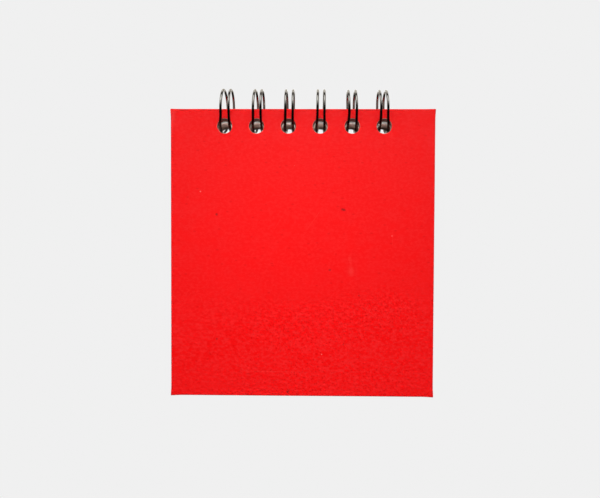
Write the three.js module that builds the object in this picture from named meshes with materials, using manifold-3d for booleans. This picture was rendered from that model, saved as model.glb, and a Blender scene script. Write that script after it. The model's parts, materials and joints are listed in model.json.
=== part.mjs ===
// Watercolour sketchbook, bound along its top edge by one twin-loop wire.
// Two wrapped boards hold a block of loose watercolour sheets; every leaf has six round
// holes, and the wire's twin loops pass through them so that each leaf can turn over.
// Millimetres, +Z up. The book lies on its back cover with the binding towards +Y.
// It stands on the loops and on the far edge of the back cover, so its leaves slope a little.
// The wire is closed under the back cover, out of sight from above.

import * as THREE from 'three';
import { mergeVertices } from 'three/addons/utils/BufferGeometryUtils.js';
import Module from 'manifold-3d';

const wasm = await Module();
wasm.setup();

// Covers: a board in a paper wrap that is turned in over its edges, under a lining sheet
const coverWidth = 105;
const coverLength = 115;
const coverCornerRadius = 0.45;
const coverEdgeRadius = 0.4;
const boardThickness = 1.5;
const wrapThickness = 0.2;
const turnInWidth = 13;
const liningThickness = 0.16;
const liningInset = 2.2;
const glueGap = 0.04;

// Sheets of watercolour paper; the covers reach past them on three sides
const sheetCount = 18;
const coverOverhang = 1;
const sheetShortfall = 5.5;
const sheetWidth = coverWidth - 2 * coverOverhang;
const sheetLength = coverLength - sheetShortfall;
const sheetThickness = 0.44;
const sheetGap = 0.05;

// Holes, one row along the binding edge of every leaf
const holeCount = 6;
const holePitch = 12.7;
const holeDiameter = 5.9;
const holeMargin = 6.8;
const holeRowOffset = 0.66;

// Twin-loop wire: fingers round the loop axis, a little wider inside the holes, joined at
// their roots by straight bridges
const wireDiameter = 1;
const wireOffset = 0.15;
const loopRadius = 8.7;
const fingerSpacing = 2.87;
const innerSpacing = 3.1;
const tipSpacing = 2.6;
const rootBendRadius = 1.3;
const cutEndLength = 1.6;
const closingGap = 0.6;
const rootAngle = THREE.MathUtils.degToRad(250);
const widenFromAngle = THREE.MathUtils.degToRad(112);
const wideFromAngle = THREE.MathUtils.degToRad(168);
const wideToAngle = THREE.MathUtils.degToRad(196);
const widenToAngle = THREE.MathUtils.degToRad(230);

// Clearances between the leaves, the wire and the loop axis
const axisClearance = 0.2;
const coverGap = 0.1;
const sheetDrop = 1.2;

// Facets
const coverHoleSides = 18;
const sheetHoleSides = 12;
const cornerSteps = 2;
const edgeSteps = 3;
const wireSides = 7;
const legSteps = 21;
const tipSteps = 6;
const bendSteps = 3;

// Heights above the loop axis, from the outer face of the front cover down
const wrappedThickness = boardThickness + 2 * (wrapThickness + glueGap);
const coverThickness = wrappedThickness + glueGap + liningThickness;
const sheetBlock = sheetCount * sheetThickness + (sheetCount - 1) * sheetGap;
const bookThickness = 2 * (coverThickness + coverGap) + sheetBlock;
const frontFace = bookThickness / 2;
const firstSheetTop = frontFace - coverThickness - coverGap;

// The binding edge of both covers stops short of the loop axis, so an open cover clears the other
const coverHoleY = -axisClearance - holeMargin;

// Material finishes
const wrapMaterial = new THREE.MeshStandardMaterial({ color: 0xe0141a, roughness: 0.75 });
const boardMaterial = new THREE.MeshStandardMaterial({ color: 0x7d675c, roughness: 0.95 });
const liningMaterial = new THREE.MeshStandardMaterial({ color: 0xe9e4da, roughness: 0.9 });
const sheetMaterial = new THREE.MeshStandardMaterial({ color: 0xf4f0e6, roughness: 0.95 });
const wireMaterial = new THREE.MeshStandardMaterial({
  color: 0xb9b6b0,
  metalness: 1,
  roughness: 0.25,
});

function holeX(index) {
  return holeRowOffset + (index - (holeCount - 1) / 2) * holePitch;
}

// The wire lies a little to the right of the middle of its holes
function fingerX(index) {
  return holeX(index) + wireOffset;
}

function addHoles(shape, y) {
  for (let index = 0; index < holeCount; index++) {
    const hole = new THREE.Path();
    hole.absarc(holeX(index), y, holeDiameter / 2, 0, 2 * Math.PI, true);
    shape.holes.push(hole);
  }
  return shape;
}

// A rectangle whose top edge, towards the binding, lies at bindingY
function leafOutline(width, length, bindingY, cornerRadius = 0) {
  const right = width / 2;
  const top = bindingY;
  const bottom = bindingY - length;
  const shape = new THREE.Shape();
  if (cornerRadius === 0) {
    shape.moveTo(-right, bottom);
    shape.lineTo(right, bottom);
    shape.lineTo(right, top);
    shape.lineTo(-right, top);
    return shape;
  }
  const inner = right - cornerRadius;
  const low = bottom + cornerRadius;
  const high = top - cornerRadius;
  shape.absarc(inner, low, cornerRadius, -Math.PI / 2, 0, false);
  shape.absarc(inner, high, cornerRadius, 0, Math.PI / 2, false);
  shape.absarc(-inner, high, cornerRadius, Math.PI / 2, Math.PI, false);
  shape.absarc(-inner, low, cornerRadius, Math.PI, 1.5 * Math.PI, false);
  return shape;
}

// A flat leaf with the row of binding holes; the extrusion gives a full circle two segments
// for each one that it counts
function punchedLeaf({ width, length, bindingY, holeY, holeSides, bottom, thickness }) {
  const shape = addHoles(leafOutline(width, length, bindingY), holeY);
  const curveSegments = holeSides / 2;
  const options = { depth: thickness, bevelEnabled: false, curveSegments };
  return new THREE.ExtrudeGeometry(shape, options).translate(0, 0, bottom);
}

// A plate with rounded corners and rounded edges, shrunk by inset on every side
function roundedPlate(inset) {
  const edge = coverEdgeRadius - inset;
  const reduction = inset + edge;
  const outline = leafOutline(
    coverWidth - 2 * reduction,
    coverLength - 2 * reduction,
    -axisClearance - reduction,
    coverCornerRadius - coverEdgeRadius,
  );
  const geometry = new THREE.ExtrudeGeometry(outline, {
    depth: wrappedThickness - 2 * reduction,
    bevelEnabled: true,
    bevelSize: edge,
    bevelThickness: edge,
    bevelSegments: edgeSteps,
    curveSegments: cornerSteps,
  });
  return geometry.translate(0, 0, edge - wrappedThickness / 2 + inset);
}

function toSolid(geometry) {
  const bare = geometry.clone();
  bare.deleteAttribute('normal');
  bare.deleteAttribute('uv');
  const merged = mergeVertices(bare);
  const mesh = new wasm.Mesh({
    numProp: 3,
    vertProperties: new Float32Array(merged.attributes.position.array),
    triVerts: new Uint32Array(merged.index.array),
  });
  return new wasm.Manifold(mesh);
}

function toGeometry(solid) {
  const mesh = solid.getMesh();
  const geometry = new THREE.BufferGeometry();
  geometry.setAttribute('position', new THREE.BufferAttribute(mesh.vertProperties, 3));
  geometry.setIndex(new THREE.BufferAttribute(mesh.triVerts, 1));
  geometry.computeVertexNormals();
  return geometry;
}

// The punch that cuts the holes through a whole cover
function coverPunch() {
  let punch = null;
  for (let index = 0; index < holeCount; index++) {
    const pin = new THREE.CylinderGeometry(
      holeDiameter / 2,
      holeDiameter / 2,
      2 * bookThickness,
      coverHoleSides,
    );
    pin.rotateX(Math.PI / 2).translate(holeX(index), coverHoleY, 0);
    punch = punch === null ? toSolid(pin) : punch.add(toSolid(pin));
  }
  return punch;
}

// The opening that the four turned-in flaps leave, on the inner side of the wrap
function turnInWindow(innerSide) {
  const outline = leafOutline(
    coverWidth - 2 * turnInWidth,
    coverLength - 2 * turnInWidth,
    -axisClearance - turnInWidth,
  );
  const depth = wrappedThickness;
  const window = new THREE.ExtrudeGeometry(outline, { depth, bevelEnabled: false });
  window.translate(0, 0, innerSide > 0 ? 0 : -depth);
  return toSolid(window);
}

// One cover; innerSide is -1 when its lining faces down and 1 when it faces up
function coverMeshes(name, innerSide) {
  const middle = -innerSide * (frontFace - wrappedThickness / 2);
  const punch = coverPunch();
  const board = toSolid(roundedPlate(wrapThickness + glueGap)).subtract(punch);
  const wrap = toSolid(roundedPlate(0))
    .subtract(toSolid(roundedPlate(wrapThickness)))
    .subtract(turnInWindow(innerSide))
    .subtract(punch);
  const liningBottom = innerSide > 0
    ? middle + wrappedThickness / 2 + glueGap
    : middle - wrappedThickness / 2 - glueGap - liningThickness;
  const lining = punchedLeaf({
    width: coverWidth - 2 * liningInset,
    length: coverLength - 2 * liningInset,
    bindingY: -axisClearance - liningInset,
    holeY: coverHoleY,
    holeSides: coverHoleSides,
    bottom: liningBottom,
    thickness: liningThickness,
  });
  return [
    namedMesh(`${name}_board`, toGeometry(board).translate(0, 0, middle), boardMaterial),
    namedMesh(`${name}_wrap`, toGeometry(wrap).translate(0, 0, middle), wrapMaterial),
    namedMesh(`${name}_lining`, lining, liningMaterial),
  ];
}

function namedMesh(name, geometry, material) {
  const mesh = new THREE.Mesh(geometry, material);
  mesh.name = name;
  return mesh;
}

function sheetTop(index) {
  return firstSheetTop - index * (sheetThickness + sheetGap);
}

// Each sheet hangs on the loops, so its holes follow the curve of the wire
function sheetHoleY(index) {
  const middle = sheetTop(index) - sheetThickness / 2;
  return -Math.sqrt(loopRadius ** 2 - middle ** 2) - sheetDrop;
}

function sheetMesh(index) {
  const holeY = sheetHoleY(index);
  const geometry = punchedLeaf({
    width: sheetWidth,
    length: sheetLength,
    bindingY: holeY + holeMargin,
    holeY,
    holeSides: sheetHoleSides,
    bottom: sheetTop(index) - sheetThickness,
    thickness: sheetThickness,
  });
  return namedMesh(`sheet_${String(index + 1).padStart(2, '0')}`, geometry, sheetMaterial);
}

// A point of the wire: x along the binding, and an angle round the loop axis that is 0 at the
// spine, a quarter turn above the book and a half turn inside the holes
function loopPoint(x, angle) {
  const y = loopRadius * Math.cos(angle);
  const z = loopRadius * Math.sin(angle);
  return new THREE.Vector3(x, y, z);
}

// Half the distance between the two legs of a finger: widest inside the holes, and narrower
// towards the rounded tip
function halfSpacing(angle) {
  const widening = THREE.MathUtils.smoothstep(angle, widenFromAngle, wideFromAngle);
  const closing = THREE.MathUtils.smoothstep(angle, wideToAngle, widenToAngle);
  const inner = THREE.MathUtils.lerp(fingerSpacing, innerSpacing, widening * (1 - closing));
  const tipShare = THREE.MathUtils.smoothstep(-angle, 0, Math.PI / 2);
  return THREE.MathUtils.lerp(inner, tipSpacing, tipShare) / 2;
}

// The rounded tips, which have come all the way round, meet the roots under the back cover
const bendAngle = rootBendRadius / loopRadius;
const tipAngle = rootAngle + (wireDiameter + closingGap) / loopRadius - 2 * Math.PI;
const tipRadius = tipSpacing / 2;

// A quarter bend between the bridge at the root and a leg; side is -1 for a left leg
function rootBend(center, side) {
  const points = [];
  const legX = center + side * halfSpacing(rootAngle - bendAngle);
  for (let step = 0; step < bendSteps; step++) {
    const turn = (step / bendSteps) * (Math.PI / 2);
    const x = legX + side * rootBendRadius * (1 - Math.sin(turn));
    const angle = rootAngle - bendAngle * (1 - Math.cos(turn));
    points.push(loopPoint(x, angle));
  }
  return points;
}

function fingerLeg(center, side) {
  const points = [];
  const start = rootAngle - bendAngle;
  const end = tipAngle + tipRadius / loopRadius;
  for (let step = 0; step <= legSteps; step++) {
    const angle = THREE.MathUtils.lerp(start, end, step / legSteps);
    points.push(loopPoint(center + side * halfSpacing(angle), angle));
  }
  return points;
}

function fingerTip(center) {
  const points = [];
  const start = tipAngle + tipRadius / loopRadius;
  for (let step = 1; step < tipSteps; step++) {
    const turn = (step / tipSteps) * Math.PI;
    const x = center - tipRadius * Math.cos(turn);
    points.push(loopPoint(x, start - (tipRadius * Math.sin(turn)) / loopRadius));
  }
  return points;
}

// The whole wire from one cut end to the other, finger after finger
function wireRoute() {
  const reach = halfSpacing(rootAngle) + rootBendRadius + cutEndLength;
  const route = [loopPoint(fingerX(0) - reach, rootAngle)];
  for (let index = 0; index < holeCount; index++) {
    const center = fingerX(index);
    route.push(...rootBend(center, -1));
    route.push(...fingerLeg(center, -1));
    route.push(...fingerTip(center));
    route.push(...fingerLeg(center, 1).reverse());
    route.push(...rootBend(center, 1).reverse());
  }
  route.push(loopPoint(fingerX(holeCount - 1) + reach, rootAngle));
  return route;
}

// One unbroken round tube along the route, closed by a flat face at each cut end
function wireGeometry(route) {
  const positions = [];
  const indices = [];
  route.forEach((point, place) => {
    const before = route[Math.max(place - 1, 0)];
    const after = route[Math.min(place + 1, route.length - 1)];
    const tangent = after.clone().sub(before).normalize();
    const outward = new THREE.Vector3(0, point.y, point.z).normalize();
    const across = tangent.clone().cross(outward).normalize();
    const normal = across.clone().cross(tangent);
    for (let side = 0; side < wireSides; side++) {
      const turn = (side / wireSides) * 2 * Math.PI;
      const vertex = point.clone()
        .addScaledVector(normal, (wireDiameter / 2) * Math.cos(turn))
        .addScaledVector(across, (wireDiameter / 2) * Math.sin(turn));
      positions.push(vertex.x, vertex.y, vertex.z);
    }
  });
  for (let ring = 0; ring < route.length - 1; ring++) {
    for (let side = 0; side < wireSides; side++) {
      const near = ring * wireSides + side;
      const nearNext = ring * wireSides + ((side + 1) % wireSides);
      const far = near + wireSides;
      const farNext = nearNext + wireSides;
      indices.push(near, farNext, far, near, nearNext, farNext);
    }
  }
  const last = (route.length - 1) * wireSides;
  for (let side = 1; side < wireSides - 1; side++) {
    indices.push(0, side + 1, side);
    indices.push(last, last + side, last + side + 1);
  }
  const geometry = new THREE.BufferGeometry();
  geometry.setAttribute('position', new THREE.Float32BufferAttribute(positions, 3));
  geometry.setIndex(indices);
  geometry.computeVertexNormals();
  return geometry;
}

// The least gap between stretches of the wire that are not neighbours along it
function leastWireGap(route) {
  const fineSteps = 6;
  const neighbourLength = 4 * wireDiameter;
  const samples = [];
  let travelled = 0;
  for (let place = 1; place < route.length; place++) {
    const length = route[place].distanceTo(route[place - 1]);
    for (let step = 0; step < fineSteps; step++) {
      const share = step / fineSteps;
      const point = route[place - 1].clone().lerp(route[place], share);
      samples.push({ point, along: travelled + share * length });
    }
    travelled += length;
  }
  let least = Infinity;
  samples.forEach((first, place) => {
    for (let other = place + 1; other < samples.length; other++) {
      const second = samples[other];
      if (second.along - first.along > neighbourLength) {
        least = Math.min(least, first.point.distanceTo(second.point));
      }
    }
  });
  return least - wireDiameter;
}

const route = wireRoute();
console.log(`Least gap of the wire to itself: ${leastWireGap(route).toFixed(2)} mm`);

// The book lies on its loops and on the far edge of the back cover, so it slopes a little
const loopFoot = loopRadius + wireDiameter / 2;
const edgeReach = axisClearance + coverLength - coverEdgeRadius;
const edgeDepth = frontFace - coverEdgeRadius;
const slope = Math.asin((loopFoot - coverEdgeRadius) / Math.hypot(edgeReach, edgeDepth))
  - Math.atan2(edgeDepth, edgeReach);

const book = new THREE.Group();
book.add(...coverMeshes('front_cover', -1));
for (let index = 0; index < sheetCount; index++) {
  book.add(sheetMesh(index));
}
book.add(...coverMeshes('back_cover', 1));
book.add(namedMesh('twin_loop_wire', wireGeometry(route), wireMaterial));
book.rotation.x = slope;

// The origin is the middle of the footprint, on the surface that the book lies on
const sketchbook = new THREE.Group();
sketchbook.add(book);
const bounds = new THREE.Box3().setFromObject(sketchbook, true);
const middle = bounds.getCenter(new THREE.Vector3());
book.position.set(-middle.x, -middle.y, -bounds.min.z);
sketchbook.updateMatrixWorld(true);

export default sketchbook;
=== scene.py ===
"""Looks of the watercolour sketchbook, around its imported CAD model.

Lengths are in millimetres in the book's own frame, whose origin is the middle of the loop
axis: +X along the binding, +Y out over the spine, +Z out of the front cover. place() carries a
point of that frame into the scene.
"""

import json
import math
from collections import namedtuple

import bmesh
import bpy
from mathutils import Matrix, Vector, noise
from mathutils.geometry import delaunay_2d_cdt


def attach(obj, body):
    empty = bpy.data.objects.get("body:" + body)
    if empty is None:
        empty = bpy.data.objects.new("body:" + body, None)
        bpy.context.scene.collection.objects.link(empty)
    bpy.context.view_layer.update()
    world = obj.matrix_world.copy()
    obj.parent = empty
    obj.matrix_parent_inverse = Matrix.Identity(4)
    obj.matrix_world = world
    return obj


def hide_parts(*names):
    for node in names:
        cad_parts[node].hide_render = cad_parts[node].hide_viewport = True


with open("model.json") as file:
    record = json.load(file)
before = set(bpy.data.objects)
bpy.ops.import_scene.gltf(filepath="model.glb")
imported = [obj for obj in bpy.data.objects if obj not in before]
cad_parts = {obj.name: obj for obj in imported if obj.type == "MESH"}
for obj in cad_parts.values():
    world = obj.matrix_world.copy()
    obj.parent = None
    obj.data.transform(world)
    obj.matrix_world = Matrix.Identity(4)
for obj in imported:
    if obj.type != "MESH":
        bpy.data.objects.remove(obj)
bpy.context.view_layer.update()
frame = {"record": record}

MM = 0.001

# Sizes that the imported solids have
COVER_WIDTH = 105.0
COVER_LENGTH = 115.0
COVER_CORNER_RADIUS = 0.45
COVER_EDGE_RADIUS = 0.4
BOARD_THICKNESS = 1.5
WRAP_THICKNESS = 0.2
TURN_IN_WIDTH = 13.0
LINING_THICKNESS = 0.16
LINING_INSET = 2.2
GLUE_GAP = 0.04
SHEET_COUNT = 18
SHEET_WIDTH = 103.0
SHEET_LENGTH = 109.5
SHEET_THICKNESS = 0.44
SHEET_GAP = 0.05
HOLE_COUNT = 6
HOLE_PITCH = 12.7
HOLE_DIAMETER = 5.9
HOLE_MARGIN = 6.8
HOLE_ROW_OFFSET = 0.66
WIRE_DIAMETER = 1.0
LOOP_RADIUS = 8.7
FINGER_SPACING = 2.87
TIP_SPACING = 2.6
ROOT_BEND_RADIUS = 1.3
CUT_END_LENGTH = 1.6
CLOSING_GAP = 0.6
ROOT_ANGLE = math.radians(250)
WIDE_TO = math.radians(196)
WIDEN_TO = math.radians(230)

# From the loop axis to the covers' binding edges, from the covers to the sheets, and how far
# the sheets hang below the circle of the loops
AXIS_CLEARANCE = 0.2
COVER_GAP = 0.1
SHEET_DROP = 1.2

WRAPPED = BOARD_THICKNESS + 2 * (WRAP_THICKNESS + GLUE_GAP)
COVER_THICKNESS = WRAPPED + GLUE_GAP + LINING_THICKNESS
SHEET_BLOCK = SHEET_COUNT * SHEET_THICKNESS + (SHEET_COUNT - 1) * SHEET_GAP
FRONT_FACE = COVER_THICKNESS + COVER_GAP + SHEET_BLOCK / 2
FIRST_SHEET_TOP = SHEET_BLOCK / 2
COVER_HOLE_Y = -AXIS_CLEARANCE - HOLE_MARGIN

# Fineness of the dressed meshes
HOLE_SIDES = 48
CORNER_STEPS = 6
EDGE_STEPS = 5
EDGE_DIVISIONS = 30
PUNCHED_STEPS = 9
WIRE_SIDES = 18
LEG_STEPS = 96
TIP_STEPS = 18
BEND_STEPS = 8
SHARP_ANGLE = math.radians(38)

# How the dressed pieces differ from the solids: the cover paper stands proud of the side
# edges and is fuller at its folded corners, less so at the spine; the holes of the boards
# slant; cut edges waver
PAPER_PROUD = 0.2
FOLDED_CORNER_RADIUS = 0.25
CORNER_FULLNESS = 0.2
FULLNESS_REACH = 4.0
SPINE_SHARE = 0.4
PUNCH_SLANT = 0.8
LEAF_CORNER_RADIUS = 0.12
LEAST_RADIUS = 0.02
COVER_WAVER = 0.05
TURN_IN_WAVER = 0.3
LINING_WAVER = 0.02
SHEET_WAVER = 0.035
BOARD_HOLE_WAVER = 0.09

# How the cover paper rolls into a punched hole: distance from the hole's wall, depth below
# the face, and 1 where the cut shows
RIM = 0.2
ROLLED_RIM = ((RIM, 0, 0), (0.11, 0.02, 0), (0.04, 0.07, 1), (0, 0.15, 1))

# Widths: of the row of faces that keeps the shading flat beside a rounded edge, of the rim
# round a leaf's hole that takes the hole walls' painted shade, and of the strip along the
# spine, which faces the light, over which the edges' painted shade and wear fade in
SUPPORT = 0.05
SHADED_RIM = 0.35
UNSHADED_SPINE_REACH = 2.0

# How fast a cut edge wavers: along a straight edge, whose broad waves carry finer ones,
# round a hole, and from layer to layer
EDGE_RATE = 0.055
FINER = 3.1
FINE_SHARE = 0.3
ROUND_RATE = 2.3
LAYER_RATE = 4

# Starting points for what differs from one leaf to the next
FRONT_SEED = 3.0
BACK_SEED = 7.0
SHEET_SEED = 11.0

record = frame["record"]
axis_position = Vector(record["behaviour"]["joints"][0]["pos_m"])
back_normal = Vector(record["mounts"][0]["axis"])
SLOPE = math.asin(back_normal.y)
BOOK = Matrix.Translation(axis_position) @ Matrix.Rotation(SLOPE, 4, "X")


def place(point):
    """A point of the book's frame, in millimetres, as a point of the scene, in metres."""
    return BOOK @ (Vector(point) * MM)


def smoothstep(value, low, high):
    """From 0 at low to 1 at high, level at both ends."""
    share = min(max((value - low) / (high - low), 0.0), 1.0)
    return share * share * (3 - 2 * share)


def lerp(low, high, share):
    return low + (high - low) * share


def hole_x(index):
    return HOLE_ROW_OFFSET + (index - (HOLE_COUNT - 1) / 2) * HOLE_PITCH


# The camera, fitted to the photo's four cover corners and six holes: its turns about X, Y
# and Z in degrees, and its place from the middle of the front cover's binding edge
PHOTO_WIDTH = 600
FOCAL_PIXELS = 577.0
SENSOR_WIDTH = 36.0
CAMERA_TURNS = (1.472, -0.857, -0.227)
CAMERA_FROM_EDGE = (2.57, -49.81, 230.73)


def add_camera():
    """The camera that took the photo."""
    turn = Matrix.Identity(3)
    for letter, degrees in zip("XYZ", CAMERA_TURNS):
        turn = turn @ Matrix.Rotation(math.radians(degrees), 3, letter)
    data = bpy.data.cameras.new("camera")
    data.sensor_width = SENSOR_WIDTH
    data.lens = SENSOR_WIDTH * FOCAL_PIXELS / PHOTO_WIDTH
    data.clip_start = 0.01
    data.clip_end = 20
    camera = bpy.data.objects.new("camera", data)
    bpy.context.scene.collection.objects.link(camera)
    x, y, z = CAMERA_FROM_EDGE
    position = place((x, y - AXIS_CLEARANCE, z + FRONT_FACE))
    rotation = BOOK.to_3x3() @ turn.transposed()
    camera.matrix_world = Matrix.Translation(position) @ rotation.to_4x4()
    bpy.context.scene.camera = camera


class Nodes:
    """A short way to write a material's node tree."""

    def __init__(self, name):
        self.material = bpy.data.materials.new(name)
        self.material.use_nodes = True
        self.tree = self.material.node_tree
        self.shader = self.tree.nodes["Principled BSDF"]
        self.coordinates = self.tree.nodes.new("ShaderNodeTexCoord").outputs["Object"]

    def set(self, **values):
        for name, value in values.items():
            self.put(self.shader.inputs[name.replace("_", " ")], value)

    def put(self, socket, value):
        if isinstance(value, bpy.types.NodeSocket):
            self.tree.links.new(value, socket)
        elif isinstance(value, tuple) and len(value) == 3 and len(socket.default_value) == 4:
            socket.default_value = (*value, 1)
        else:
            socket.default_value = value

    def scaled(self, x, y, z, turn=0.0):
        """Coordinates turned about Z, with that many units to a metre along each axis."""
        node = self.tree.nodes.new("ShaderNodeMapping")
        self.put(node.inputs["Vector"], self.coordinates)
        node.inputs["Rotation"].default_value = (0, 0, turn)
        node.inputs["Scale"].default_value = (x, y, z)
        return node.outputs[0]

    def noise(self, vector, detail, roughness, distortion=0.0):
        node = self.tree.nodes.new("ShaderNodeTexNoise")
        self.put(node.inputs["Vector"], vector)
        node.inputs["Scale"].default_value = 1.0
        node.inputs["Detail"].default_value = detail
        node.inputs["Roughness"].default_value = roughness
        node.inputs["Distortion"].default_value = distortion
        return node.outputs["Fac"]

    def cells(self, vector):
        """Distance to the nearest of many scattered points."""
        node = self.tree.nodes.new("ShaderNodeTexVoronoi")
        self.put(node.inputs["Vector"], vector)
        node.inputs["Scale"].default_value = 1.0
        return node.outputs["Distance"]

    def span(self, value, low, high, start=0.0, end=1.0):
        """Goes smoothly from start to end while the value goes from low to high."""
        node = self.tree.nodes.new("ShaderNodeMapRange")
        node.interpolation_type = "SMOOTHSTEP"
        for name, number in zip(("Value", "From Min", "From Max", "To Min", "To Max"),
                                (value, low, high, start, end)):
            self.put(node.inputs[name], number)
        return node.outputs[0]

    def math(self, operation, first, second):
        node = self.tree.nodes.new("ShaderNodeMath")
        node.operation = operation
        self.put(node.inputs[0], first)
        self.put(node.inputs[1], second)
        return node.outputs[0]

    def mix(self, share, first, second, blend="MIX"):
        """Two colours, which the node takes at its inputs 6 and 7 and gives at output 2."""
        node = self.tree.nodes.new("ShaderNodeMix")
        node.data_type = "RGBA"
        node.blend_type = blend
        self.put(node.inputs["Factor"], share)
        self.put(node.inputs[6], first)
        self.put(node.inputs[7], second)
        return node.outputs[2]

    def spot(self, x, y, width, length, turn, share):
        """A soft oval mark of that size, ragged at its rim; lengths in millimetres."""
        move = self.tree.nodes.new("ShaderNodeVectorMath")
        move.operation = "SUBTRACT"
        self.put(move.inputs[0], self.coordinates)
        move.inputs[1].default_value = place((x, y, FRONT_FACE))
        stretch = self.tree.nodes.new("ShaderNodeMapping")
        stretch.vector_type = "TEXTURE"
        self.put(stretch.inputs["Vector"], move.outputs[0])
        stretch.inputs["Rotation"].default_value = (0, 0, turn)
        radii = (width / 2 * MM, length / 2 * MM, MARK_DEPTH * MM)
        stretch.inputs["Scale"].default_value = radii
        reach = self.tree.nodes.new("ShaderNodeVectorMath")
        reach.operation = "LENGTH"
        self.put(reach.inputs[0], stretch.outputs[0])
        fray = self.noise(self.scaled(MARK_FRAY, MARK_FRAY, MARK_FRAY), 2, 0.6)
        ragged = self.math("ADD", reach.outputs["Value"], fray)
        return self.span(ragged, *MARK_RIM, share, 0.0)

    def attribute(self, name):
        """A value that the mesh keeps at each of its points."""
        node = self.tree.nodes.new("ShaderNodeAttribute")
        node.attribute_name = name
        return node.outputs["Fac"]

    def bump(self, height, strength, depth):
        """Relief of that depth, in millimetres."""
        node = self.tree.nodes.new("ShaderNodeBump")
        node.inputs["Strength"].default_value = strength
        node.inputs["Distance"].default_value = depth * MM
        self.put(node.inputs["Height"], height)
        return node.outputs[0]


# Materials. Colours are linear red, green and blue.

RED_DEEP = (0.955, 0.0008, 0.0013)
RED_BRIGHT = (0.962, 0.0026, 0.0034)
RED_PALE = (0.972, 0.0130, 0.0142)
RED_DARK = (0.932, 0.0003, 0.0006)
RED_FLECK = (0.860, 0.0002, 0.0006)
FLECK = (0.300, 0.012, 0.012)
PALE_FLECK = (1.0, 0.330, 0.290)
SCUFF = (1.0, 0.062, 0.056)
# Painted shade on the cover's rounded edges, with some wear from handling
EDGE_SHADE_AND_WEAR = (0.60, 0.45, 0.45)
CUT_DARK = (0.62, 0.20, 0.16)
CUT_PALE = (0.86, 0.46, 0.38)
BOARD_DARK = (0.170, 0.066, 0.052)
BOARD_PALE = (0.330, 0.150, 0.120)
BOARD_FIBRE = (0.400, 0.220, 0.180)
BOARD_FLECK = (0.060, 0.038, 0.030)
LINING_DEEP = (0.800, 0.775, 0.715)
LINING_PALE = (0.865, 0.845, 0.790)
LINING_GRAIN = (0.690, 0.655, 0.590)
SHEET_DEEP = (0.800, 0.755, 0.700)
SHEET_PALE = (0.875, 0.840, 0.790)
SHEET_FIBRE = (0.640, 0.600, 0.530)
NICKEL_DULL = (0.235, 0.225, 0.205)
NICKEL_BRIGHT = (0.290, 0.280, 0.255)
NICKEL_PIT = (0.160, 0.145, 0.130)
NICKEL_GLANCING = (0.500, 0.480, 0.450)
# Painted shade on the wire's flanks, which darkens what they reflect
FLANK_SHADE = (0.060, 0.052, 0.048)

# The walls of the holes in sheets and linings, browned partly with painted shade, from the
# darkest leaf to the palest: between the fibres and on them
PUNCHED_DARK = ((0.560, 0.345, 0.280), (0.760, 0.510, 0.430))
PUNCHED_PALE = ((0.740, 0.520, 0.440), (0.900, 0.700, 0.610))

# Single marks of wear, in the book's frame: x and y of the middle, width, length, turn in
# radians, how strong, and the colour. They are deep enough to show on the back cover too, a
# little fainter. A mark is full to where its rim begins and has faded where its rim ends.
MARK_DEPTH = 30
MARK_FRAY = 2600
MARK_RIM = (0.75, 1.75)
MARKS = (
    (-34.3, -42.2, 1.00, 1.10, 0.2, 0.85, FLECK),
    (16.4, -40.2, 2.10, 1.00, -0.3, 0.90, FLECK),
    (11.1, -64.3, 1.10, 0.90, 0.1, 0.55, FLECK),
    (22.8, -74.5, 1.30, 0.80, -0.2, 0.35, FLECK),
    (16.6, -94.3, 0.80, 0.80, 0.0, 0.40, FLECK),
    (-34.2, -92.3, 0.90, 0.90, 0.0, 0.55, FLECK),
    (-5.5, -113.4, 1.60, 1.20, 0.5, 0.60, FLECK),
    (-40.8, -33.1, 0.60, 0.60, 0.0, 0.95, PALE_FLECK),
    (-3.2, -22.7, 0.45, 0.45, 0.0, 0.25, PALE_FLECK),
    (35.8, -50.6, 0.55, 0.55, 0.0, 0.60, PALE_FLECK),
    (8.0, -98.3, 0.55, 0.55, 0.0, 0.60, PALE_FLECK),
    (19.6, -64.8, 2.60, 4.60, 0.0, 0.45, SCUFF),
    (19.2, -60.0, 1.60, 4.40, 0.1, 0.30, SCUFF),
    (4.8, -44.1, 0.40, 11.50, -0.62, 0.30, SCUFF),
    (-9.9, -46.0, 0.40, 11.00, -0.53, 0.16, SCUFF),
    (36.0, -52.6, 0.35, 6.60, 0.0, 0.25, SCUFF),
    (-13.2, -105.3, 26.0, 0.40, 0.0, 0.22, SCUFF),
    (-51.8, -3.4, 2.40, 8.00, 0.0, 0.30, SCUFF),
)


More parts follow.
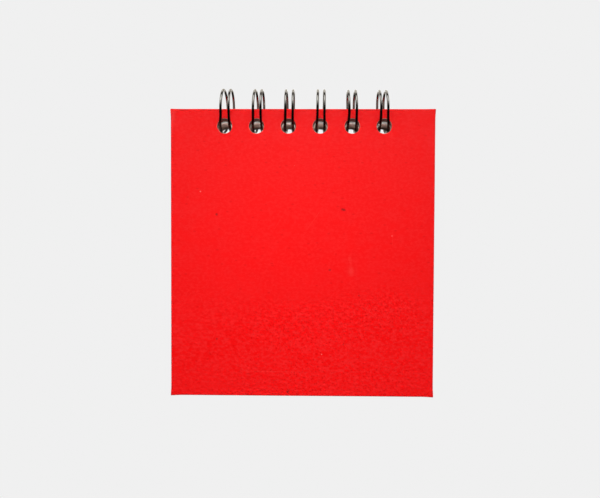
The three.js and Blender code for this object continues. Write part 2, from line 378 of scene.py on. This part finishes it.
def cover_paper(name):
    """Red paper with pulp mottling, short fibres lying mostly across, flecks and fine grain."""
    n = Nodes(name)
    broad = n.noise(n.scaled(60, 90, 90), 3, 0.5)
    grain = n.noise(n.scaled(800, 1050, 1050), 2, 0.6, 0.3)
    fibre = n.noise(n.scaled(330, 1700, 1700, 0.06), 3, 0.65, 1.2)
    specks = n.cells(n.scaled(420, 640, 640))
    fine = n.noise(n.scaled(3600, 5200, 5200), 3, 0.6)
    tone = n.mix(n.span(broad, 0.35, 0.65), RED_DEEP, RED_BRIGHT)
    tone = n.mix(n.span(grain, 0.38, 0.68), tone, RED_PALE)
    tone = n.mix(n.span(fibre, 0.52, 0.70, 0.0, 0.6), tone, RED_DARK)
    tone = n.mix(n.span(specks, 0.10, 0.24, 0.35, 0.0), tone, RED_DARK)
    tone = n.mix(n.span(fine, 0.25, 0.40, 0.25, 0.0), tone, RED_DARK)
    sparse = n.cells(n.scaled(220, 400, 400, 0.05))
    tone = n.mix(n.span(sparse, 0.08, 0.17, 0.75, 0.0), tone, RED_FLECK)
    for x, y, width, length, turn, share, colour in MARKS:
        tone = n.mix(n.spot(x, y, width, length, turn, share), tone, colour)
    # Rounded edges darkened: partly painted shade, partly wear, left out along the spine
    tone = n.mix(n.attribute("edge"), tone, EDGE_SHADE_AND_WEAR, "MULTIPLY")
    height = n.math("ADD", grain, n.math("MULTIPLY", fibre, 0.6))
    height = n.math("ADD", height, n.math("MULTIPLY", fine, 0.25))
    n.set(Base_Color=tone, Roughness=n.span(grain, 0.3, 0.7, 0.38, 0.48),
          Normal=n.bump(height, 0.3, 0.04), Specular_IOR_Level=0.32)
    return n.material


def cut_paper(name):
    """The punched rim of the cover paper, where its paler core shows."""
    n = Nodes(name)
    fuzz = n.noise(n.scaled(2400, 2400, 2400), 4, 0.7)
    tone = n.mix(n.span(fuzz, 0.3, 0.7), CUT_DARK, CUT_PALE)
    n.set(Base_Color=tone, Roughness=0.9, Normal=n.bump(fuzz, 0.6, 0.05),
          Specular_IOR_Level=0.2)
    return n.material


def pulp_board(name):
    """Grey-brown board: short fibres pressed in layers, seen at its cut edges."""
    n = Nodes(name)
    layers = n.noise(n.scaled(300, 300, 5200), 4, 0.6, 0.4)
    fibres = n.noise(n.scaled(1500, 1500, 3600), 5, 0.7, 1.0)
    flecks = n.cells(n.scaled(1100, 1100, 1900))
    tone = n.mix(n.span(layers, 0.3, 0.7), BOARD_DARK, BOARD_PALE)
    tone = n.mix(n.span(fibres, 0.45, 0.75, 0.0, 0.6), tone, BOARD_FIBRE)
    tone = n.mix(n.span(flecks, 0.10, 0.20, 0.6, 0.0), tone, BOARD_FLECK)
    height = n.math("ADD", layers, n.math("MULTIPLY", fibres, 0.8))
    n.set(Base_Color=tone, Roughness=n.span(fibres, 0.3, 0.7, 0.86, 0.97),
          Normal=n.bump(height, 0.7, 0.08), Specular_IOR_Level=0.2)
    return n.material


def lining_paper(name):
    """Smooth off-white paper with a faint cloudy formation and a light grain."""
    n = Nodes(name)
    cloud = n.noise(n.scaled(240, 240, 240), 4, 0.6)
    grain = n.noise(n.scaled(2600, 3900, 3900), 4, 0.6)
    tone = n.mix(n.span(cloud, 0.3, 0.7), LINING_DEEP, LINING_PALE)
    tone = n.mix(n.span(grain, 0.6, 0.8, 0.0, 0.25), tone, LINING_GRAIN)
    n.set(Base_Color=tone, Roughness=n.span(grain, 0.3, 0.7, 0.74, 0.86),
          Normal=n.bump(grain, 0.25, 0.03), Specular_IOR_Level=0.3)
    return n.material


def sheet_paper(name):
    """Cold-pressed watercolour paper: a pillowy tooth on its faces and a soft fibrous edge."""
    n = Nodes(name)
    tooth = n.cells(n.scaled(1150, 1150, 1150))
    swell = n.noise(n.scaled(620, 620, 620), 4, 0.55)
    fibre = n.noise(n.scaled(3400, 3400, 7000), 4, 0.7, 0.8)
    tone = n.mix(n.span(swell, 0.3, 0.7), SHEET_DEEP, SHEET_PALE)
    tone = n.mix(n.span(fibre, 0.55, 0.80, 0.0, 0.35), tone, SHEET_FIBRE)
    height = n.math("ADD", n.math("MULTIPLY", tooth, 0.5), swell)
    height = n.math("ADD", height, n.math("MULTIPLY", fibre, 0.25))
    n.set(Base_Color=tone, Roughness=n.span(swell, 0.3, 0.7, 0.84, 0.95),
          Normal=n.bump(height, 0.5, 0.10), Specular_IOR_Level=0.2)
    return n.material


def punched_paper(name):
    """The walls of the punched holes, compressed and dulled by the punch, browned with painted
    shade.
    """
    n = Nodes(name)
    layers = n.noise(n.scaled(900, 900, 9000), 4, 0.7, 0.6)
    sheet = n.tree.nodes.new("ShaderNodeObjectInfo").outputs["Random"]
    dark = n.mix(sheet, *PUNCHED_DARK)
    light = n.mix(sheet, *PUNCHED_PALE)
    tone = n.mix(n.span(layers, 0.3, 0.7), dark, light)
    n.set(Base_Color=tone, Roughness=0.95, Normal=n.bump(layers, 0.7, 0.06),
          Specular_IOR_Level=0.1)
    return n.material


def nickel_wire(name):
    """Bright plated wire: faint drawing lines, dulled patches, tiny pits, painted shade on its
    flanks.
    """
    n = Nodes(name)
    haze = n.noise(n.scaled(420, 420, 420), 4, 0.6)
    drawn = n.noise(n.scaled(7000, 900, 900), 3, 0.6)
    pits = n.cells(n.scaled(2100, 2100, 2100))
    tone = n.mix(n.span(haze, 0.35, 0.7), NICKEL_DULL, NICKEL_BRIGHT)
    tone = n.mix(n.span(pits, 0.06, 0.12, 0.5, 0.0), tone, NICKEL_PIT)
    # Painted shade on the flanks of the wire, darkening what they reflect
    tone = n.mix(n.attribute("flank"), tone, FLANK_SHADE)
    height = n.math("ADD", n.math("MULTIPLY", drawn, 0.4), n.span(pits, 0.05, 0.14))
    n.set(Base_Color=tone, Roughness=n.span(haze, 0.3, 0.7, 0.09, 0.16),
          Normal=n.bump(height, 0.12, 0.02), Metallic=1.0, Specular_Tint=NICKEL_GLANCING)
    return n.material


COVER = cover_paper("cover_paper")
CUT = cut_paper("cover_paper_cut")
BOARD = pulp_board("board")
LINING = lining_paper("lining_paper")
SHEET = sheet_paper("sheet_paper")
PUNCHED = punched_paper("sheet_paper_punched")
WIRE = nickel_wire("wire")


# Mesh building, in millimetres of the book's frame

# Which triangles delaunay_2d_cdt returns, and how near two points have to be to become one
INSIDE = 1
MERGE = 1e-5


def add_loop(bm, points):
    return [bm.verts.new(point) for point in points]


def bridge(bm, first, second, finish=0):
    """Faces between two closed loops of as many points."""
    count = len(first)
    for index in range(count):
        after = (index + 1) % count
        face = bm.faces.new((first[index], first[after], second[after], second[index]))
        face.smooth = True
        face.material_index = finish


def encloses(loop, point):
    """Whether a closed loop of flat points goes round that point."""
    crossings = 0
    for first, second in zip(loop, loop[1:] + loop[:1]):
        if (first.y > point.y) != (second.y > point.y):
            share = (point.y - first.y) / (second.y - first.y)
            crossings += lerp(first.x, second.x, share) > point.x
    return crossings % 2 == 1


def fill(bm, loops):
    """A flat face inside the first loop and outside the others."""
    points = [point for loop in loops for point in loop]
    owners = [number for number, loop in enumerate(loops) for _ in loop]
    edges = []
    start = 0
    for loop in loops:
        count = len(loop)
        edges += [(start + step, start + (step + 1) % count) for step in range(count)]
        start += count
    flat = [point.co.xy for point in points]
    rims = [[point.co.xy for point in loop] for loop in loops]
    _, _, triangles, sources, _, _ = delaunay_2d_cdt(flat, edges, [], INSIDE, MERGE)
    for triangle in triangles:
        corners = [sources[corner][0] for corner in triangle]
        touched = {owners[corner] for corner in corners}
        if len(touched) == 1 and 0 not in touched:
            middle = sum((flat[corner] for corner in corners), Vector((0, 0))) / 3
            if encloses(rims[touched.pop()], middle):
                continue
        bm.faces.new([points[corner] for corner in corners]).smooth = True


def finish_piece(name, bm, finishes, body, nodes):
    """Puts a mesh in its place in the scene and lets it stand for its CAD nodes."""
    bmesh.ops.recalc_face_normals(bm, faces=bm.faces)
    bmesh.ops.transform(bm, matrix=BOOK @ Matrix.Scale(MM, 4), verts=bm.verts)
    open_edges = sum(1 for edge in bm.edges if len(edge.link_faces) != 2)
    if open_edges:
        print(f"{name}: {open_edges} edges without two faces")
    for edge in bm.edges:
        if edge.calc_face_angle(0) > SHARP_ANGLE:
            edge.smooth = False
    mesh = bpy.data.meshes.new(name)
    bm.to_mesh(mesh)
    bm.free()
    for finish in finishes:
        mesh.materials.append(finish)
    piece = bpy.data.objects.new(name, mesh)
    bpy.context.scene.collection.objects.link(piece)
    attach(piece, body)
    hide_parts(*nodes)


def wander(x, y, seed, reach):
    """A small offset that changes slowly from place to place."""
    probe = Vector((x * EDGE_RATE + seed, y * EDGE_RATE - seed, 0))
    broad = noise.noise(probe) * (1 - FINE_SHARE)
    return (broad + noise.noise(probe * FINER) * FINE_SHARE) * reach


def outline(width, length, top, inset, radius, z, seed, waver):
    """A closed loop of points round a rectangle with rounded corners."""
    right = width / 2 - inset
    high = top - inset
    low = top - length + inset
    radius = max(radius, LEAST_RADIUS)
    corners = (
        (right - radius, low + radius, -90),
        (right - radius, high - radius, 0),
        (-right + radius, high - radius, 90),
        (-right + radius, low + radius, 180),
    )
    points = []
    for number, (x, y, start) in enumerate(corners):
        arc = []
        for step in range(CORNER_STEPS + 1):
            angle = math.radians(start + 90 * step / CORNER_STEPS)
            arc.append((x + radius * math.cos(angle), y + radius * math.sin(angle)))
        points += arc
        next_x, next_y, next_start = corners[(number + 1) % 4]
        angle = math.radians(next_start)
        goal = (next_x + radius * math.cos(angle), next_y + radius * math.sin(angle))
        for step in range(1, EDGE_DIVISIONS):
            share = (1 - math.cos(math.pi * step / EDGE_DIVISIONS)) / 2
            points.append((lerp(arc[-1][0], goal[0], share), lerp(arc[-1][1], goal[1], share)))
    middle_y = top - length / 2
    moved = []
    for x, y in points:
        offset = wander(x, y, seed, waver)
        moved.append((x + math.copysign(offset, x), y + math.copysign(offset, y - middle_y), z))
    return moved


def circle(x, y, radius, z, seed=0.0, waver=0.0):
    """A closed loop of points round a hole, ragged where it wavers."""
    points = []
    for step in range(HOLE_SIDES):
        angle = 2 * math.pi * step / HOLE_SIDES
        aside = math.cos(angle)
        along = math.sin(angle)
        probe = Vector((aside * ROUND_RATE + x, along * ROUND_RATE + seed, z * LAYER_RATE))
        reach = radius + noise.noise(probe) * waver
        points.append((x + reach * aside, y + reach * along, z))
    return points


def hole_loops(bm, y, radius, z, seed=0.0, waver=0.0):
    return [add_loop(bm, circle(hole_x(index), y, radius, z, seed + index, waver))
            for index in range(HOLE_COUNT)]


def edge_profile(radius, low, high, inset):
    """(inset, height) pairs from the upper face round the edge to the lower face."""
    pairs = [(inset + radius + SUPPORT, high)]
    for step in range(EDGE_STEPS + 1):
        angle = math.pi / 2 * (1 - step / EDGE_STEPS)
        drawn_in = radius * (1 - math.cos(angle))
        pairs.append((inset + drawn_in, high - radius * (1 - math.sin(angle))))
    for step in range(EDGE_STEPS + 1):
        angle = -math.pi / 2 * step / EDGE_STEPS
        drawn_in = radius * (1 - math.cos(angle))
        pairs.append((inset + drawn_in, low + radius * (1 + math.sin(angle))))
    pairs.append((inset + radius + SUPPORT, low))
    return pairs


def cover_outline(inset, z, seed):
    radius = COVER_CORNER_RADIUS - inset
    return outline(COVER_WIDTH, COVER_LENGTH, -AXIS_CLEARANCE, inset, radius, z, seed,
                   COVER_WAVER)


def paper_outline(inset, z, seed):
    """The cover paper's outline: a little proud of the side edges, and fuller at its folded
    corners."""
    width = COVER_WIDTH + 2 * PAPER_PROUD
    radius = FOLDED_CORNER_RADIUS - inset
    middle_y = -AXIS_CLEARANCE - COVER_LENGTH / 2
    plain = outline(width, COVER_LENGTH, -AXIS_CLEARANCE, inset, radius, z, seed, COVER_WAVER)
    points = []
    for x, y, z in plain:
        from_side = width / 2 - abs(x)
        from_end = COVER_LENGTH / 2 - abs(y - middle_y)
        pull = CORNER_FULLNESS * (1 - smoothstep(from_side, 0, FULLNESS_REACH))
        pull *= 1 - smoothstep(from_end, 0, FULLNESS_REACH)
        lengthwise = pull * SPINE_SHARE if y > middle_y else -pull
        points.append((x + math.copysign(pull, x), y + lengthwise, z))
    return points


def punched_walls(bm, outer, inner, rings):
    """Joins each hole in the paper's outer face to the same hole in its inner face."""
    for index in range(HOLE_COUNT):
        last = outer[index]
        for radius, z, finish in rings:
            loop = add_loop(bm, circle(hole_x(index), COVER_HOLE_Y, radius, z))
            bridge(bm, last, loop, finish)
            last = loop
        bridge(bm, last, inner[index], 1)


def wrap_piece(name, body, node, middle, outward, seed):
    """The cover paper: one skin over the board, turned in over all four edges."""
    bm = bmesh.new()
    edge_shade_and_wear = bm.verts.layers.float.new("edge")
    half = WRAPPED / 2
    hole = HOLE_DIAMETER / 2
    skin = WRAP_THICKNESS
    outer = edge_profile(COVER_EDGE_RADIUS, -half, half, 0.0)
    inner = edge_profile(COVER_EDGE_RADIUS - skin, -half + skin, half - skin, skin)
    outer_loops = [add_loop(bm, paper_outline(inset, z, seed)) for inset, z in outer]
    inner_loops = [add_loop(bm, paper_outline(inset, z, seed)) for inset, z in inner]
    # How much painted shade and wear each point of the rounded edges takes; little near the
    # spine
    for loop, (inset, _) in zip(outer_loops, outer):
        for vertex in loop:
            from_spine = -AXIS_CLEARANCE - vertex.co.y
            vertex[edge_shade_and_wear] = 1 - smoothstep(inset, 0, COVER_EDGE_RADIUS)
            vertex[edge_shade_and_wear] *= smoothstep(from_spine, 0, UNSHADED_SPINE_REACH)
    for loops in (outer_loops, inner_loops):
        for first, second in zip(loops, loops[1:]):
            bridge(bm, first, second)
    window = [add_loop(bm, outline(COVER_WIDTH, COVER_LENGTH, -AXIS_CLEARANCE, TURN_IN_WIDTH,
                                   LEAST_RADIUS, z, seed, TURN_IN_WAVER))
              for z in (-half, -half + skin)]
    bridge(bm, window[0], window[1])
    face_holes = hole_loops(bm, COVER_HOLE_Y, hole + RIM + SUPPORT, half)
    under_holes = hole_loops(bm, COVER_HOLE_Y, hole, half - skin)
    rolled = [(hole + out, half - depth, finish) for out, depth, finish in ROLLED_RIM]
    fill(bm, [outer_loops[0]] + face_holes)
    fill(bm, [inner_loops[0]] + under_holes)
    punched_walls(bm, face_holes, under_holes, rolled)
    flap_holes = hole_loops(bm, COVER_HOLE_Y, hole, -half)
    flap_under = hole_loops(bm, COVER_HOLE_Y, hole, -half + skin)
    fill(bm, [outer_loops[-1], window[0]] + flap_holes)
    fill(bm, [inner_loops[-1], window[1]] + flap_under)
    punched_walls(bm, flap_holes, flap_under, ())
    for vertex in bm.verts:
        vertex.co.z = middle + outward * vertex.co.z
    finish_piece(name, bm, (COVER, CUT), body, (node,))


def board_piece(name, body, node, middle, outward, seed):
    """The board: the walls of its holes slant and are a little fibrous."""
    bm = bmesh.new()
    below_skin = WRAP_THICKNESS + GLUE_GAP
    half = BOARD_THICKNESS / 2
    profile = edge_profile(COVER_EDGE_RADIUS - below_skin, -half, half, below_skin)
    loops = [add_loop(bm, cover_outline(inset, z, seed)) for inset, z in profile]
    for first, second in zip(loops, loops[1:]):
        bridge(bm, first, second)
    hole = HOLE_DIAMETER / 2
    top = hole_loops(bm, COVER_HOLE_Y, hole, half)
    bottom = hole_loops(bm, COVER_HOLE_Y - PUNCH_SLANT, hole, -half)
    fill(bm, [loops[0]] + top)
    fill(bm, [loops[-1]] + bottom)
    for index in range(HOLE_COUNT):
        last = top[index]
        for step in range(1, PUNCHED_STEPS):
            share = step / PUNCHED_STEPS
            y = COVER_HOLE_Y - PUNCH_SLANT * share
            z = lerp(half, -half, share)
            ring = add_loop(bm, circle(hole_x(index), y, hole, z, seed + index,
                                       BOARD_HOLE_WAVER))
            bridge(bm, last, ring)
            last = ring
        bridge(bm, last, bottom[index])
    for vertex in bm.verts:
        vertex.co.z = middle + outward * vertex.co.z
    finish_piece(name, bm, (BOARD,), body, (node,))


def flat_leaf(name, finish, body, node, size, top, hole_y, low, high, seed, waver):
    """A flat punched leaf with its corners cut square."""
    bm = bmesh.new()
    width, length = size
    hole = HOLE_DIAMETER / 2
    faces = []
    for z in (low, high):
        ring = add_loop(bm, outline(width, length, top, 0, LEAF_CORNER_RADIUS, z, seed, waver))
        holes = hole_loops(bm, hole_y, hole, z, seed, waver)
        # A rim round each hole on the leaf's faces takes the same painted shade as the hole
        # walls
        rims = hole_loops(bm, hole_y, hole + SHADED_RIM, z, seed, waver)
        fill(bm, [ring] + rims)
        for rim, edge in zip(rims, holes):
            bridge(bm, rim, edge, 1)
        faces.append((ring, holes))
    bridge(bm, faces[0][0], faces[1][0])
    for below, above in zip(faces[0][1], faces[1][1]):
        bridge(bm, below, above, 1)
    finish_piece(name, bm, (finish, PUNCHED), body, (node,))


def add_cover(body, outward, seed):
    """Wrap, board and lining of one cover; outward is 1 on the front and -1 on the back."""
    middle = outward * (FRONT_FACE - WRAPPED / 2)
    wrap_piece(f"{body}_paper", body, f"{body}_wrap", middle, outward, seed)
    board_piece(f"{body}_pulp_board", body, f"{body}_board", middle, outward, seed)
    inner = middle - outward * (WRAPPED / 2 + GLUE_GAP)
    low, high = sorted((inner, inner - outward * LINING_THICKNESS))
    size = (COVER_WIDTH - 2 * LINING_INSET, COVER_LENGTH - 2 * LINING_INSET)
    flat_leaf(f"{body}_lining_sheet", LINING, body, f"{body}_lining", size,
              -AXIS_CLEARANCE - LINING_INSET, COVER_HOLE_Y, low, high, seed, LINING_WAVER)


def add_sheet(index):
    """One sheet, counted from the front cover, whose holes follow the circle of the loops."""
    top = FIRST_SHEET_TOP - index * (SHEET_THICKNESS + SHEET_GAP)
    middle = top - SHEET_THICKNESS / 2
    hole_y = -math.sqrt(LOOP_RADIUS ** 2 - middle ** 2) - SHEET_DROP
    node = f"sheet_{index + 1:02d}"
    flat_leaf(f"{node}_paper", SHEET, node, node, (SHEET_WIDTH, SHEET_LENGTH),
              hole_y + HOLE_MARGIN, hole_y, top - SHEET_THICKNESS, top, SHEET_SEED + index,
              SHEET_WAVER)


# The wire: each finger was bent and closed by machine, and none is quite like the next.
# For each: its shift from the hole's middle, the spacing of its legs above the book and
# behind the spine, its lean in degrees, how far it drifts and spreads in the hole, how far
# it falls short of the loop beyond the spine, and how far it is bent aside there.
Finger = namedtuple("Finger", "shift front behind lean drift spread short aside")
FINGERS = (
    Finger(0.25, 3.20, 2.90, -0.9, -0.38, 0.62, 0.00, 0.05),
    Finger(0.30, 3.00, 2.70, -1.2, -0.22, 0.48, 0.14, 0.04),
    Finger(0.30, 2.90, 2.90, -0.4, -0.14, 0.28, 0.20, 0.05),
    Finger(0.25, 2.75, 2.60, -0.8, -0.14, 0.40, 0.20, 0.05),
    Finger(0.20, 2.95, 2.90, -1.0, -0.20, 0.52, 0.38, -0.20),
    Finger(-0.05, 2.75, 2.70, -1.2, 0.18, 0.64, 0.48, -0.22),
)

# Angles round the loop axis, from +Y over +Z: where a leg spreads in the hole, where its
# spacing goes from behind to front, and how far below the axis it may fall short
SPREAD_FROM = math.radians(104)
SPREAD_TO = math.radians(146)
BEHIND_TO = math.radians(10)
FRONT_FROM = math.radians(100)
BEHIND = math.radians(30)

# Shares of the loop radius beyond the axis over which a finger falls short and is bent aside
SHORT_REACH = (0.2, 0.9)
ASIDE_REACH = (0.0, 0.8)

# How far round the wire from its ridge its flanks' painted shade starts and is full, as a sine
FLANK_FROM = 0.35
FLANK_TO = 0.85


def inside_hole(angle):
    """How far a leg is inside the holes at that angle, from 0 to 1."""
    return smoothstep(angle, SPREAD_FROM, SPREAD_TO) * (1 - smoothstep(angle, WIDE_TO, WIDEN_TO))


def loop_point(index, side, half, angle):
    """The middle of the wire at that angle, half a spacing to one side of its finger."""
    finger = FINGERS[index]
    beyond = math.cos(angle)
    short = smoothstep(angle, -BEHIND, 0) * smoothstep(beyond, *SHORT_REACH)
    y = (LOOP_RADIUS - finger.short * short) * beyond
    z = LOOP_RADIUS * math.sin(angle)
    middle = hole_x(index) + finger.shift + finger.drift * inside_hole(angle)
    middle += finger.aside * smoothstep(beyond, *ASIDE_REACH)
    middle += math.tan(math.radians(finger.lean)) * (z - FRONT_FACE)
    return Vector((middle + side * half, y, z))


def half_spacing(index, angle):
    """Half the distance between a finger's legs at that angle."""
    finger = FINGERS[index]
    spacing = lerp(finger.behind, finger.front, smoothstep(angle, BEHIND_TO, FRONT_FROM))
    spacing += finger.spread * inside_hole(angle)
    spacing = lerp(spacing, FINGER_SPACING, smoothstep(angle, WIDE_TO, WIDEN_TO))
    return lerp(spacing, TIP_SPACING, smoothstep(-angle, 0, math.pi / 2)) / 2


BEND_ANGLE = ROOT_BEND_RADIUS / LOOP_RADIUS
TIP_ANGLE = ROOT_ANGLE + (WIRE_DIAMETER + CLOSING_GAP) / LOOP_RADIUS - 2 * math.pi
TIP_RADIUS = TIP_SPACING / 2
LEG_START = ROOT_ANGLE - BEND_ANGLE
LEG_END = TIP_ANGLE + TIP_RADIUS / LOOP_RADIUS


def root_bend(index, side):
    """From the bridge beside a finger round to the start of its leg."""
    half = half_spacing(index, LEG_START)
    points = []
    for step in range(BEND_STEPS):
        turn = step / BEND_STEPS * math.pi / 2
        reach = half + ROOT_BEND_RADIUS * (1 - math.sin(turn))
        angle = ROOT_ANGLE - BEND_ANGLE * (1 - math.cos(turn))
        points.append(loop_point(index, side, reach, angle))
    return points


def finger_leg(index, side):
    angles = [lerp(LEG_START, LEG_END, step / LEG_STEPS) for step in range(LEG_STEPS + 1)]
    return [loop_point(index, side, half_spacing(index, angle), angle) for angle in angles]


def finger_tip(index):
    """The round end that joins a finger's two legs."""
    points = []
    for step in range(1, TIP_STEPS):
        turn = step / TIP_STEPS * math.pi
        angle = LEG_END - TIP_RADIUS * math.sin(turn) / LOOP_RADIUS
        points.append(loop_point(index, -math.cos(turn), TIP_RADIUS, angle))
    return points


def wire_route():
    points = []
    for index in range(HOLE_COUNT):
        points += root_bend(index, -1) + finger_leg(index, -1) + finger_tip(index)
        points += finger_leg(index, 1)[::-1] + root_bend(index, 1)[::-1]
    first = points[0] - Vector((CUT_END_LENGTH, 0, 0))
    last = points[-1] + Vector((CUT_END_LENGTH, 0, 0))
    return [first] + points + [last]


def add_wire():
    """One unbroken round wire, with a small flat at each cut end."""
    bm = bmesh.new()
    flank = bm.verts.layers.float.new("flank")
    route = wire_route()
    rings = []
    for number, point in enumerate(route):
        before = route[max(number - 1, 0)]
        after = route[min(number + 1, len(route) - 1)]
        tangent = (after - before).normalized()
        outward = Vector((0, point.y, point.z)).normalized()
        across = tangent.cross(outward).normalized()
        normal = across.cross(tangent)
        ring = []
        for side in range(WIRE_SIDES):
            turn = 2 * math.pi * side / WIRE_SIDES
            ring.append(point + (normal * math.cos(turn) + across * math.sin(turn))
                        * (WIRE_DIAMETER / 2))
        rings.append(add_loop(bm, ring))
        # How much painted shade each point takes: full on the flanks
        for side, vertex in enumerate(rings[-1]):
            aside = abs(math.sin(2 * math.pi * side / WIRE_SIDES))
            vertex[flank] = smoothstep(aside, FLANK_FROM, FLANK_TO)
    for first, second in zip(rings, rings[1:]):
        bridge(bm, first, second)
    bm.faces.new(rings[0])
    bm.faces.new(rings[-1])
    finish_piece("twin_loop_binding", bm, (WIRE,), "binding", ("twin_loop_wire",))


# The studio, in metres: a pale floor that glows evenly and throws no light on the book, a
# world that is brighter beyond the spine and at both sides, and three softboxes

PALE = 0.871
FLOOR_REACH = 1.6
BOOK_MIDDLE = (0, 0, 0.01)


def add_floor():
    material = bpy.data.materials.new("floor")
    material.use_nodes = True
    shader = material.node_tree.nodes["Principled BSDF"]
    shader.inputs["Base Color"].default_value = (0, 0, 0, 1)
    shader.inputs["Roughness"].default_value = 0.9
    shader.inputs["Specular IOR Level"].default_value = 0.0
    shader.inputs["Emission Color"].default_value = (1, 1, 1, 1)
    shader.inputs["Emission Strength"].default_value = PALE
    mesh = bpy.data.meshes.new("floor")
    square = ((-1, -1), (1, -1), (1, 1), (-1, 1))
    corners = [(x * FLOOR_REACH, y * FLOOR_REACH, 0) for x, y in square]
    mesh.from_pydata(corners, [], [(0, 1, 2, 3)])
    mesh.materials.append(material)
    floor = bpy.data.objects.new("floor", mesh)
    bpy.context.scene.collection.objects.link(floor)
    floor.visible_glossy = False
    floor.visible_diffuse = False


def add_world():
    """Even light for matt surfaces; what polished wire mirrors is dark overhead and bright
    low down."""
    world = bpy.data.worlds.new("studio")
    bpy.context.scene.world = world
    world.use_nodes = True
    tree = world.node_tree
    tree.nodes.clear()

    def new(kind, **settings):
        node = tree.nodes.new(kind)
        for name, value in settings.items():
            setattr(node, name, value)
        return node

    direction = new("ShaderNodeSeparateXYZ")
    tree.links.new(new("ShaderNodeTexCoord").outputs["Generated"], direction.inputs[0])

    def ramp(axis, low, high, start, end):
        """Goes from start to end while the direction's share along that axis goes up."""
        node = new("ShaderNodeMapRange", interpolation_type="SMOOTHSTEP")
        tree.links.new(direction.outputs[axis], node.inputs["Value"])
        for name, number in zip(("From Min", "From Max", "To Min", "To Max"),
                                (low, high, start, end)):
            node.inputs[name].default_value = number
        return node.outputs[0]

    def combine(operation, first, second):
        node = new("ShaderNodeMath", operation=operation)
        for socket, value in zip(node.inputs, (first, second)):
            if isinstance(value, float):
                socket.default_value = value
            else:
                tree.links.new(value, socket)
        return node.outputs[0]

    # What lights the book
    left = ramp("X", -0.85, -0.50, 1.0, 0.0)
    right = ramp("X", 0.50, 0.85, 0.0, 1.0)
    sides = combine("MULTIPLY", combine("ADD", left, right), 1.12)
    dome = combine("ADD", sides, ramp("Y", -0.05, 0.45, 0.01, 0.86))
    below = ramp("Z", -0.60, -0.10, 0.03, 0.50)
    above = ramp("Z", -0.05, 0.25, 0.0, 0.50)
    soft = combine("MULTIPLY", dome, combine("ADD", below, above))

    # What the wire mirrors: a band beyond the spine and the pale ground, nearly black elsewhere
    band = combine("MULTIPLY", ramp("Z", 0.06, 0.18, 0.0, 1.0), ramp("Z", 0.60, 0.72, 1.0, 0.0))
    band = combine("MULTIPLY", band, ramp("Y", 0.25, 0.55, 0.0, 2.9))
    ground = ramp("Z", -0.40, -0.24, 2.9, 0.0)
    ground = combine("MULTIPLY", ground, ramp("Y", -0.45, -0.10, 0.0, 1.0))
    mirrored = combine("ADD", combine("ADD", band, ground), 0.004)

    path = new("ShaderNodeLightPath")
    lights = []
    for strength in (soft, mirrored):
        background = new("ShaderNodeBackground")
        tree.links.new(strength, background.inputs["Strength"])
        lights.append(background.outputs[0])
    plain = new("ShaderNodeBackground")
    plain.inputs["Color"].default_value = (1, 1, 1, 1)
    plain.inputs["Strength"].default_value = PALE
    glossy = new("ShaderNodeMixShader")
    tree.links.new(path.outputs["Is Glossy Ray"], glossy.inputs[0])
    tree.links.new(lights[0], glossy.inputs[1])
    tree.links.new(lights[1], glossy.inputs[2])
    seen = new("ShaderNodeMixShader")
    tree.links.new(path.outputs["Is Camera Ray"], seen.inputs[0])
    tree.links.new(glossy.outputs[0], seen.inputs[1])
    tree.links.new(plain.outputs[0], seen.inputs[2])
    target = new("ShaderNodeOutputWorld")
    tree.links.new(seen.outputs[0], target.inputs["Surface"])


def add_softbox(name, position, aim, size, power, spread=180):
    """A soft light that polished surfaces don't mirror."""
    data = bpy.data.lights.new(name, "AREA")
    data.shape = "RECTANGLE"
    data.size, data.size_y = size
    data.energy = power
    data.spread = math.radians(spread)
    light = bpy.data.objects.new(name, data)
    bpy.context.scene.collection.objects.link(light)
    light.location = position
    light.rotation_euler = (Vector(aim) - Vector(position)).to_track_quat("-Z", "Y").to_euler()
    light.visible_glossy = False


add_camera()
add_cover("front_cover", 1, FRONT_SEED)
for sheet_index in range(SHEET_COUNT):
    add_sheet(sheet_index)
add_cover("back_cover", -1, BACK_SEED)
add_wire()
add_floor()
add_world()
add_softbox("strip", position=(0, 0.215, 0.51), aim=BOOK_MIDDLE, size=(0.90, 0.08), power=0.38)
add_softbox("fill", position=(0, -0.29, 0.50), aim=BOOK_MIDDLE, size=(0.40, 0.12), power=0.48)
add_softbox("key", position=(-0.01, 0.185, 0.465), aim=(-0.006, -0.002, 0), size=(0.05, 0.05),
            power=0.05, spread=41)
bpy.context.scene.view_settings.view_transform = "Standard"
